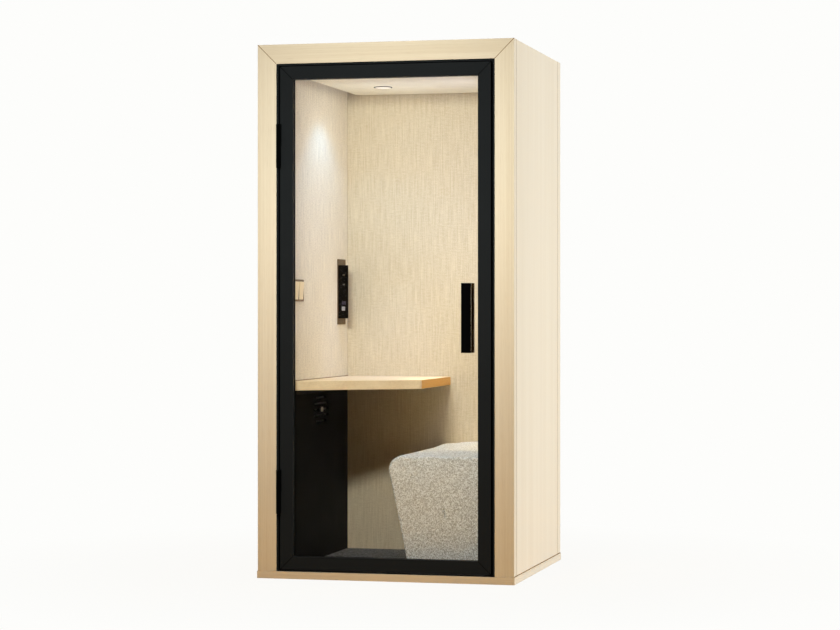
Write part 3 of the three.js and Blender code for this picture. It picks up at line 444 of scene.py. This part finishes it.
# painted light on the side walls, painted shade on the back wall
felt_painted_lit = felt_finish("wall_felt_painted_lit", 1, FELT_LIT_PALE, FELT_LIT_DEEP)
felt_painted_shade = felt_finish("wall_felt_painted_shade", 0, FELT_SHADED_PALE, FELT_SHADED_DEEP)
melange = fleck_finish("bench_melange", 0.0036, MELANGE_LIGHT, MELANGE_DARK, 0.0012, 0.1, scatter=0.45)
loop_pile = fleck_finish("carpet_loop_pile", 0.006, CARPET_LIGHT, CARPET_DARK, 0.0018, 0.1)
pressed_wool = fleck_finish("pressed_wool", 0.009, WOOL_LIGHT, WOOL_DARK, 0.001, 0.1)
ceiling_paint = coated_finish("ceiling_paint", CEILING_WHITE, 0.75, 0.002, 0.00008, specular_ior_level=0.15)
door_coat = coated_finish("door_black_coat", DOOR_BLACK, 0.45, specular_ior_level=0.04)
pull_black = lacquer_finish("pull_black_lacquer", PULL_BLACK)
# painted reflection of the wood on the inner handle
pull_painted_reflection = lacquer_finish("pull_painted_reflection_lacquer", HANDLE_REFLECTION_BROWN)
panel_coat = coated_finish("lower_panel_coat", PANEL_BLACK, 0.6, 0.002, specular_ior_level=0.03)
black_plastic = coated_finish("black_plastic", PLASTIC_BLACK, 0.42, 0.0006, specular_ior_level=0.07)
black_rubber = coated_finish("black_rubber", RUBBER_BLACK, 0.8, 0.0009, specular_ior_level=0.04)
bronze_coat = coated_finish("bronze_plate", BRONZE, 0.42, 0.0008, metallic=0.3, specular_ior_level=0.2)
switch_tan = coated_finish("switch_tan", SWITCH_TAN, 0.4, 0.0008, specular_ior_level=0.3)
port_white = coated_finish("port_white", PORT_WHITE, 0.3, 0.0008)
port_violet = coated_finish("port_violet", PORT_VIOLET, 0.35, 0.0008)
# painted shade in the shell's joint gaps
joint_painted_shade = coated_finish("joint_painted_shade", JOINT_SHADE_BROWN, 0.7, 0.001, specular_ior_level=0.1)
switch_bronze = coated_finish("switch_bronze", SWITCH_BRONZE, 0.42, 0.0008, metallic=0.3, specular_ior_level=0.2)
painted_gap_shade = coated_finish("painted_gap_shade", GAP_SHADE_BROWN, 0.6, 0.001, specular_ior_level=0.2)
brushed_steel = coated_finish("brushed_steel", STEEL, 0.32, 0.0007, metallic=1.0)
bright_zinc = coated_finish("bright_zinc", ZINC, 0.35, 0.0007, metallic=0.5)
clear_glass = glass_finish()
opal_lens = lens_finish()


# The CAD pieces: a finish and softened edges for each

FINISHED = [
    (ash_upright, EDGE_WOOD, [
        "front_left_stile", "front_right_stile",
    ]),
    (ash_painted_lit, EDGE_WOOD, ["left_side_panel", "right_side_panel", "back_panel"]),
    (ash_level, EDGE_WOOD, ["front_top_rail", "base_plinth"]),
    (ash_desk, EDGE_WOOD, ["desk_top"]),
    (plain_board, EDGE_WOOD, ["roof_panel", "seat_carcass"]),
    (pressed_wool, 0, ["left_core", "right_core"]),
    (felt_painted_lit, EDGE_FELT, ["left_felt_panel", "right_felt_panel"]),
    (felt_painted_shade, EDGE_FELT, ["back_felt_panel"]),
    (panel_coat, EDGE_SMALL, ["left_lower_panel"]),
    (ceiling_paint, EDGE_FELT, ["ceiling_panel"]),
    (door_coat, EDGE_METAL, [
        "jamb_left", "jamb_right", "jamb_head", "threshold", "door_left_stile", "door_right_stile",
        "door_top_rail", "door_bottom_rail", "desk_wall_rail", "roof_vent_grille", "downlight_trim",
    ]),
    (pull_black, EDGE_SMALL, [
        "handle_outer", "hinge_upper_jamb_half", "hinge_upper_door_half", "hinge_lower_jamb_half",
        "hinge_lower_door_half",
    ]),
    (pull_painted_reflection, EDGE_SMALL, ["handle_inner"]),
    (black_rubber, EDGE_SMALL, ["door_seal", "glazing_bead"]),
    (clear_glass, 0, ["door_glass"]),
    (opal_lens, EDGE_SMALL, ["downlight_lens"]),
    (brushed_steel, EDGE_SMALL, [
        "levelling_foot_front_left", "levelling_foot_front_right", "levelling_foot_rear_left",
        "levelling_foot_rear_right", "downlight_can",
    ]),
    (bright_zinc, EDGE_SMALL, ["panel_latch"]),
    (black_plastic, EDGE_SMALL, [
        "power_module", "socket_upper", "socket_lower", "mains_inlet", "intake_fan_housing",
        "intake_fan_rotor", "exhaust_fan_housing", "exhaust_fan_rotor",
    ]),
    (port_white, EDGE_SMALL, ["data_port"]),
    (port_violet, EDGE_SMALL, ["usb_port"]),
    (switch_tan, EDGE_SMALL, ["light_rocker", "fan_rocker"]),
    (bronze_coat, EDGE_SMALL, ["power_back_plate"]),
    (switch_bronze, EDGE_SMALL, ["switch_plate"]),
]


def soften(piece, edge):
    weld = piece.modifiers.new("joined_corners", "WELD")
    weld.merge_threshold = 1e-5
    soft = piece.modifiers.new("softened_edges", "BEVEL")
    soft.width = edge
    soft.segments = 2
    soft.limit_method = "ANGLE"
    soft.angle_limit = SHARP_ANGLE


def finish_node(name, material, edge):
    node = nodes[name]
    node.data.materials.clear()
    node.data.materials.append(material)
    if edge:
        soften(node, edge)


for finish, softening, names in FINISHED:
    for node_name in names:
        finish_node(node_name, finish, softening)


# Pieces modelled here

def new_piece(name, points, faces, material, body="shell"):
    mesh = bpy.data.meshes.new(name)
    mesh.from_pydata(points, [], faces)
    mesh.materials.append(material)
    form = bmesh.new()
    form.from_mesh(mesh)
    bmesh.ops.recalc_face_normals(form, faces=form.faces)
    form.to_mesh(mesh)
    form.free()
    piece = bpy.data.objects.new(name, mesh)
    scene.collection.objects.link(piece)
    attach(piece, body)
    return piece


def spaced(start, end, step):
    """Points from start up to, but not including, end."""
    count = max(1, round((Vector(end) - Vector(start)).length / step))
    return [Vector(start).lerp(Vector(end), i / count) for i in range(count)]


def bench_outline():
    """The bench's section in (x, z): up the leaning side, round the shoulder, over the top and down."""
    low, right = bench_low.z, bench_high.x
    top = bench_high.z - BENCH_CROWN
    centre = Vector((0.0, top - BENCH_SHOULDER))
    slope = math.hypot(1, BENCH_LEAN)
    centre.x = BENCH_FOOT - BENCH_LEAN * (centre.y - low) + BENCH_SHOULDER * slope
    start = math.pi + math.atan(BENCH_LEAN)
    arc_count = round(BENCH_SHOULDER * (start - math.pi / 2) / BENCH_STEP * 2)
    arc = []
    for i in range(arc_count + 1):
        angle = start + (math.pi / 2 - start) * i / arc_count
        arc.append(centre + BENCH_SHOULDER * Vector((math.cos(angle), math.sin(angle))))
    side = spaced((BENCH_FOOT, low), arc[0], BENCH_STEP)
    over = spaced(arc[-1], (right, top), BENCH_STEP)
    down = spaced((right, top), (right, low), BENCH_STEP * 2)
    under = spaced((right, low), (BENCH_FOOT, low), BENCH_STEP * 2)
    return side + arc[:-1] + over + down + under, centre.x


def make_bench_cover():
    """The upholstered bench: crowned, drawn in at the front edge, with a sewn seam round the front."""
    outline, shoulder_x = bench_outline()
    low, right, front, back = bench_low.z, bench_high.x, bench_low.y + BENCH_SWELL, bench_high.y
    top = bench_high.z - BENCH_CROWN
    middle = Vector(((BENCH_FOOT + right) / 2, (low + top) / 2))

    def ring(y, size):
        lift = math.sin(math.pi / 2 * min(max((y - front) / BENCH_RISE, 0), 1))
        points = []
        for x, z in outline:
            height = (z - low) / (top - low)
            across = min(max((x - shoulder_x) / (right - shoulder_x), 0), 1)
            crown = BENCH_CROWN * math.sin(math.pi * across) * lift * height
            x, z = middle + (Vector((x, z + crown)) - middle) * size
            points.append((x, y, max(z, low) if height > 0 else low))
        return points

    rings = []
    for size in (0.06, 0.18, 0.32, 0.46, 0.6, 0.74, 0.88):
        rings.append(ring(front - BENCH_SWELL * 0.6 * (1 - size * size), size * 0.95))
    edge_rings = 5
    for i in range(edge_rings + 1):
        angle = math.pi / 2 * i / edge_rings
        rings.append(ring(front + BENCH_EDGE * (1 - math.cos(angle)), 1 - 0.05 * (1 - math.sin(angle))))
    start = front + BENCH_EDGE
    count = round((back - start) / BENCH_STEP)
    rings += [ring(start + (back - start) * i / count, 1) for i in range(1, count + 1)]

    width = len(outline)
    points = [point for each in rings for point in each]
    faces = []
    for r in range(len(rings) - 1):
        for i in range(width):
            a, b = r * width + i, r * width + (i + 1) % width
            faces.append((a, b, b + width, a + width))
    faces.append(tuple(range(width)))
    faces.append(tuple(range((len(rings) - 1) * width, len(rings) * width)))
    cover = new_piece("bench_cover", points, faces, melange)
    stuff(cover, lambda p: p.z < low + 0.004 or p.x > right - 0.004 or p.y > back - 0.02)
    sew_front_seam(cover, front + BENCH_EDGE)
    smooth(cover)
    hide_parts("seat_cushion")
    return cover


def stuff(piece, is_held):
    """Swells a closed cover from inside by cloth simulation. Held points stay where they are."""
    held = piece.vertex_groups.new(name="held")
    rest = [vertex.co.copy() for vertex in piece.data.vertices]
    held.add([i for i, point in enumerate(rest) if is_held(point)], 1.0, "REPLACE")
    cloth = piece.modifiers.new("stuffing", "CLOTH")
    cloth.settings.use_pressure = True
    cloth.settings.uniform_pressure_force = STUFFING_PRESSURE
    cloth.settings.effector_weights.gravity = 0
    cloth.settings.vertex_group_mass = held.name
    cloth.point_cache.frame_end = STUFFING_FRAMES
    for number in range(1, STUFFING_FRAMES + 1):
        scene.frame_set(number)
    swollen = piece.evaluated_get(bpy.context.evaluated_depsgraph_get()).data
    moves = [vertex.co - point for vertex, point in zip(swollen.vertices, rest)]
    piece.modifiers.remove(cloth)
    piece.vertex_groups.remove(held)
    for vertex, point, move in zip(piece.data.vertices, rest, moves):
        vertex.co = point + move * min(1.0, STUFFING_REACH / max(move.length, 1e-9))
    scene.frame_set(1)


def sew_front_seam(piece, seam):
    """Draws the cover in along a line round its section, a little behind the front edge."""
    piece.data.update()
    pulls = []
    for vertex in piece.data.vertices:
        near = 1 - abs(vertex.co.y - seam) / SEAM_WIDTH
        pulls.append(SEAM_DEPTH * near if near > 0 and vertex.co.z > bench_low.z + SEAM_WIDTH else 0)
    for vertex, pull in zip(piece.data.vertices, pulls):
        vertex.co = vertex.co - vertex.normal * pull


def smooth(piece, levels=1):
    for face in piece.data.polygons:
        face.use_smooth = True
    if levels:
        rounding = piece.modifiers.new("rounding", "SUBSURF")
        rounding.levels = levels
        rounding.render_levels = levels


def make_carpet():
    """A low pile carpet with a slightly uneven top."""
    low, high = carpet_low, carpet_high
    columns = round((high.x - low.x) / PILE_STEP)
    rows = round((high.y - low.y) / PILE_STEP)
    points = []
    for j in range(rows + 1):
        for i in range(columns + 1):
            x = low.x + (high.x - low.x) * i / columns
            y = low.y + (high.y - low.y) * j / rows
            wave = noise.noise(Vector((x, y, 0)) * 60) + noise.noise(Vector((x, y, 5)) * 140)
            points.append((x, y, high.z - PILE_UNEVEN + PILE_UNEVEN * wave / 2))
    width = columns + 1
    faces = []
    for j in range(rows):
        for i in range(columns):
            a = j * width + i
            faces.append((a, a + 1, a + 1 + width, a + width))
    rim = [i for i in range(width)]
    rim += [j * width + columns for j in range(1, rows + 1)]
    rim += [rows * width + i for i in range(columns - 1, -1, -1)]
    rim += [j * width for j in range(rows - 1, 0, -1)]
    first = len(points)
    points += [(points[i][0], points[i][1], low.z) for i in rim]
    for k in range(len(rim)):
        following = (k + 1) % len(rim)
        faces.append((rim[k], first + k, first + following, rim[following]))
    faces.append(tuple(range(first, first + len(rim))))
    pile = new_piece("carpet_pile", points, faces, loop_pile)
    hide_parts("floor_carpet")
    return pile


def make_desk_gap_shade():
    """A brown quarter-round strip between the desk and the left wall: painted shade standing for the shadow gap
    there.
    """
    high = GAP_SHADE_SIZE
    left, front, back, top = desk_low.x, desk_low.y, desk_high.y, desk_high.z
    steps = 4
    section = [(left, top - high / 2), (left, top + high)]
    for i in range(1, steps + 1):
        angle = math.pi / 2 * (1 - i / steps)
        section.append((left + high * math.cos(angle), top + high * math.sin(angle)))
    section.append((left + high, top - high / 2))
    points = [(x, y, z) for y in (front + GAP_SHADE_SIZE, back) for x, z in section]
    count = len(section)
    faces = [(i, (i + 1) % count, count + (i + 1) % count, count + i) for i in range(count)]
    faces += [tuple(range(count)), tuple(range(count, 2 * count))]
    return new_piece("desk_wall_gap_shade", points, faces, painted_gap_shade)


def make_joint_lines(name, lines, width, material, body="shell"):
    """Thin strips in the joints of panels. A line is its two ends and the way its face looks."""
    points, faces = [], []
    for start, end, out in lines:
        start, end, out = Vector(start), Vector(end), Vector(out)
        across = (end - start).normalized().cross(out) * width / 2
        corners = [across - out * JOINT_SUNK, -across - out * JOINT_SUNK,
                   -across + out * JOINT_PROUD, across + out * JOINT_PROUD]
        first = len(points)
        points += [tuple(end_point + corner) for end_point in (start, end) for corner in corners]
        faces += [tuple(first + i for i in range(4)), tuple(first + 4 + i for i in range(4))]
        for i in range(4):
            following = (i + 1) % 4
            faces.append((first + i, first + following, first + 4 + following, first + 4 + i))
    return new_piece(name, points, faces, material, body)


def make_door_mitres():
    """The hairlines where the door's profiles meet at its corners."""
    left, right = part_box("door_left_stile"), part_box("door_right_stile")
    top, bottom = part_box("door_top_rail"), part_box("door_bottom_rail")
    front = left[0].y
    mitres = []
    for outer_x, inner_x in ((left[0].x, left[1].x), (right[1].x, right[0].x)):
        for outer_z, inner_z in ((top[1].z, top[0].z), (bottom[0].z, bottom[1].z)):
            mitres.append(((outer_x, front, outer_z), (inner_x, front, inner_z), (0, -1, 0)))
    make_joint_lines("door_mitres", mitres, MITRE_LINE, pull_black, "door")


def make_shell_joints():
    """Dark brown strips at the mitres of the front, the upright joints of the side panels, and the joint above the
    plinth: painted shade standing for the shadow in those gaps.
    """
    rail_low, rail_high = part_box("front_top_rail")
    stile_low, stile_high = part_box("front_right_stile")
    back_low, back_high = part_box("back_panel")
    plinth_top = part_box("base_plinth")[1].z
    front = stile_low.y
    level = plinth_top + BASE_JOINT / 2
    mitres, uprights, bases = [], [], []
    for side in (-1, 1):
        wall = side * stile_high.x
        mitres.append(((wall, front, rail_high.z), (side * stile_low.x, front, rail_low.z), (0, -1, 0)))
        for y in (stile_high.y, back_low.y):
            uprights.append(((wall, y, plinth_top), (wall, y, stile_high.z), (side, 0, 0)))
        bases.append(((wall, front, level), (wall, back_high.y, level), (side, 0, 0)))
    bases.append(((back_low.x, back_high.y, level), (back_high.x, back_high.y, level), (0, 1, 0)))
    make_joint_lines("mitre_lines", mitres, MITRE_LINE, joint_painted_shade)
    make_joint_lines("panel_joints", uprights, PANEL_JOINT, joint_painted_shade)
    make_joint_lines("base_joints", bases, BASE_JOINT, joint_painted_shade)


def make_rods(name, rods, radius, material):
    """Round rods or screw heads with a small rounding at the far end. A rod is its two ends."""
    count = 16
    points, faces = [], []
    for start, end in rods:
        start, end = Vector(start), Vector(end)
        along = (end - start).normalized()
        turn = along.to_track_quat("Z", "X")
        rounding = min(radius, (end - start).length) * 0.3
        first = len(points)
        for middle, size in ((start, radius), (end - along * rounding, radius), (end, radius - rounding)):
            for i in range(count):
                angle = 2 * math.pi * i / count
                points.append(tuple(middle + turn @ Vector((math.cos(angle), math.sin(angle), 0)) * size))
        for r in (0, count):
            for i in range(count):
                a, b = first + r + i, first + r + (i + 1) % count
                faces.append((a, b, b + count, a + count))
        faces += [tuple(first + i for i in range(count)), tuple(first + 2 * count + i for i in range(count))]
    return new_piece(name, points, faces, material)


def make_block(name, low, high, material, edge=EDGE_SMALL):
    """A plain block between two corners, with softened edges."""
    points = [(x, y, z) for x in (low[0], high[0]) for y in (low[1], high[1]) for z in (low[2], high[2])]
    faces = [(0, 1, 3, 2), (4, 5, 7, 6), (0, 1, 5, 4), (2, 3, 7, 6), (0, 2, 6, 4), (1, 3, 7, 5)]
    block = new_piece(name, points, faces, material)
    soften(block, edge)
    return block


def make_desk_end_shade():
    """An orange-brown sheet on the desk's right end, from the rounded corner to the back wall: painted warm shade
    standing for the bounce light that falls there.
    """
    low = (desk_high.x - DESK_END_SHEET, DESK_CORNER_Y, desk_low.z + DESK_EDGE)
    high = (desk_high.x + DESK_END_SHEET, desk_high.y - DESK_EDGE, desk_high.z - DESK_EDGE)
    make_block("desk_end_shade", low, high, desk_end_shade_finish, DESK_END_SHEET / 2)


def make_earth_pins():
    out = Vector((1, -1, 0)).normalized()
    pins = []
    for height in EARTH_PIN_HEIGHTS:
        face = Vector((*POWER_FACE, height))
        pins.append([face + out * reach for reach in EARTH_PIN_ENDS])
    make_rods("earth_pins", pins, EARTH_PIN_RADIUS, brushed_steel)


def make_roof_screws():
    low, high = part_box("roof_vent_grille")
    screws = []
    for x in (low.x + SCREW_INSET, high.x - SCREW_INSET):
        for y in (low.y + SCREW_INSET, high.y - SCREW_INSET):
            screws.append([(x, y, high.z - 0.001), (x, y, high.z + JOINT_PROUD)])
    make_rods("grille_screws", screws, SCREW_RADIUS, brushed_steel)


make_bench_cover()
make_carpet()
make_desk_gap_shade()
make_desk_end_shade()
make_shell_joints()
make_door_mitres()
make_earth_pins()
make_roof_screws()


# The camera, the stage and the light

def make_camera():
    data = bpy.data.cameras.new("photo_camera")
    data.sensor_width = SENSOR
    data.lens = FOCAL_PIXELS / PHOTO_WIDTH * SENSOR
    data.shift_y = (HORIZON_ROW - PHOTO_HEIGHT / 2) / PHOTO_WIDTH
    data.clip_end = 200
    camera = bpy.data.objects.new("photo_camera", data)
    camera.location = CAMERA_PLACE
    camera.rotation_euler = (math.pi / 2, 0, CAMERA_TURN)
    scene.collection.objects.link(camera)
    scene.camera = camera


def seen_directly(tree):
    """1 for the rays by which the background is seen, straight or in metal and glass."""
    path = add_node(tree, "LightPath").outputs
    through = calc(tree, "MAXIMUM", path["Is Glossy Ray"], path["Is Transmission Ray"])
    return calc(tree, "MAXIMUM", path["Is Camera Ray"], through)


def make_world():
    world = bpy.data.worlds.new("studio")
    world.use_nodes = True
    tree = world.node_tree
    shown = tree.nodes["Background"]
    feed(tree, shown.inputs["Color"], BACKGROUND)
    ambient = add_node(tree, "Background", {"Color": AMBIENT_TINT, "Strength": AMBIENT})
    either = add_node(tree, "MixShader", {0: seen_directly(tree), 1: ambient.outputs[0], 2: shown.outputs[0]})
    tree.links.new(either.outputs[0], tree.nodes["World Output"].inputs["Surface"])
    scene.world = world


def make_floor():
    """A pale floor that keeps the shadow near the pod and fades into the background."""
    size = 40.0
    mesh = bpy.data.meshes.new("studio_floor")
    corners = [(-size, -size, 0), (size, -size, 0), (size, size, 0), (-size, size, 0)]
    mesh.from_pydata(corners, [], [(0, 1, 2, 3)])
    floor = bpy.data.objects.new("studio_floor", mesh)
    floor.location.z = cad_box[0].z - 0.0005
    scene.collection.objects.link(floor)
    material, tree, shader = new_finish("studio_floor", roughness=0.9, specular_ior_level=0.0)
    feed(tree, shader.inputs["Base Color"], FLOOR_TINT)
    away = add_node(tree, "VectorMath", {0: place(tree)}, operation="LENGTH").outputs["Value"]
    white = spread(tree, away, 0.7, 2.2, SHADOW_HIDDEN, 1.0)
    glow = add_node(tree, "Emission", {"Color": BACKGROUND}).outputs[0]
    share = calc(tree, "MULTIPLY", seen_directly(tree), white)
    either = add_node(tree, "MixShader", {0: share, 1: shader.outputs[0], 2: glow})
    tree.links.new(either.outputs[0], tree.nodes["Material Output"].inputs["Surface"])
    mesh.materials.append(material)


def add_lamp(name, kind, place_at, aim, power, colour=(1.0, 1.0, 1.0), glossy=False, **settings):
    """A lamp that isn't seen itself, or only as a highlight."""
    data = bpy.data.lights.new(name, kind)
    data.energy = power
    data.color = colour
    for key, value in settings.items():
        setattr(data, key, value)
    lamp = bpy.data.objects.new(name, data)
    lamp.location = place_at
    lamp.rotation_euler = (Vector(aim) - Vector(place_at)).to_track_quat("-Z", "Y").to_euler()
    lamp.visible_camera = False
    lamp.visible_transmission = False
    lamp.visible_glossy = glossy
    scene.collection.objects.link(lamp)
    return lamp


AMBIENT = 0.08
SHADOW_HIDDEN = 0.96
scene.view_settings.view_transform = "Standard"
make_camera()
make_world()
make_floor()
add_lamp("front_softbox", "AREA", (0.02, -2.6, 2.08), (0.02, -0.505, 1.4), 21.0, (0.96, 1.0, 0.97),
         shape="RECTANGLE", size=0.6, size_y=0.16, spread=math.radians(110))
add_lamp("low_softbox", "AREA", (0.02, -2.6, 2.08), (0.02, -0.505, 0.35), 0.63, (1.0, 0.42, 0.04),
         shape="RECTANGLE", size=0.6, size_y=0.16, spread=math.radians(60))
add_lamp("side_softbox", "AREA", (6.0, 0.4, 1.3), (0.54, 0.2, 1.1), 360.0, (0.76, 0.87, 1.0), size=3.0)
add_lamp("back_softbox", "AREA", (-3.0, 4.0, 2.2), (0.0, 0.3, 1.1), 130.0, (0.9, 0.95, 1.0), size=2.5)
add_lamp("roof_spot", "SPOT", (0.0, 0.0, 7.0), (0.0, 0.0, 0.0), 700.0, (0.95, 0.97, 1.0),
         spot_size=math.radians(15), spot_blend=0.3, shadow_soft_size=0.5)
add_lamp("wall_glow", "AREA", (cabin_right - 0.006, -0.1, 1.56), (cabin_left, -0.1, 1.56), 3.7,
         (0.62, 0.67, 1.0), shape="RECTANGLE", size=0.45, size_y=0.62)
add_lamp("low_glow", "POINT", (0.1, -0.02, 1.15), (0.1, -0.02, 0.0), 1.85, (0.93, 0.92, 0.92),
         shadow_soft_size=0.2)
add_lamp("top_glow", "POINT", (-0.15, 0.05, 1.86), (-0.15, 0.05, 0.0), 0.92, (0.78, 0.82, 0.92),
         shadow_soft_size=0.15)
lens_middle = (lens_low + lens_high) / 2
below_lens = Vector((lens_middle.x, lens_middle.y, lens_low.z - 0.003))
add_lamp("desk_spot", "SPOT", below_lens, below_lens - Vector((0.03, -0.15, 1.26)), 40.0, (0.37, 0.52, 1.0),
         spot_size=0.64, spot_blend=0.7, shadow_soft_size=0.03)
bench_middle = (bench_low + bench_high) / 2
over_bench = Vector((bench_middle.x, bench_middle.y + 0.12, ceiling - 0.005))
add_lamp("bench_spot", "SPOT", over_bench, over_bench - Vector((0, 0, 1)), 60.0, (1.0, 0.79, 0.48),
         spot_size=0.55, spot_blend=0.7, shadow_soft_size=0.03)
scallop = Vector((cabin_left + 0.19, 0.0, ceiling - 0.006))
add_lamp("wall_washer", "SPOT", scallop, scallop - Vector((0, 0, 1)), 5.0, (0.24, 0.53, 1.0),
         spot_size=math.radians(112), spot_blend=0.6, shadow_soft_size=0.01)
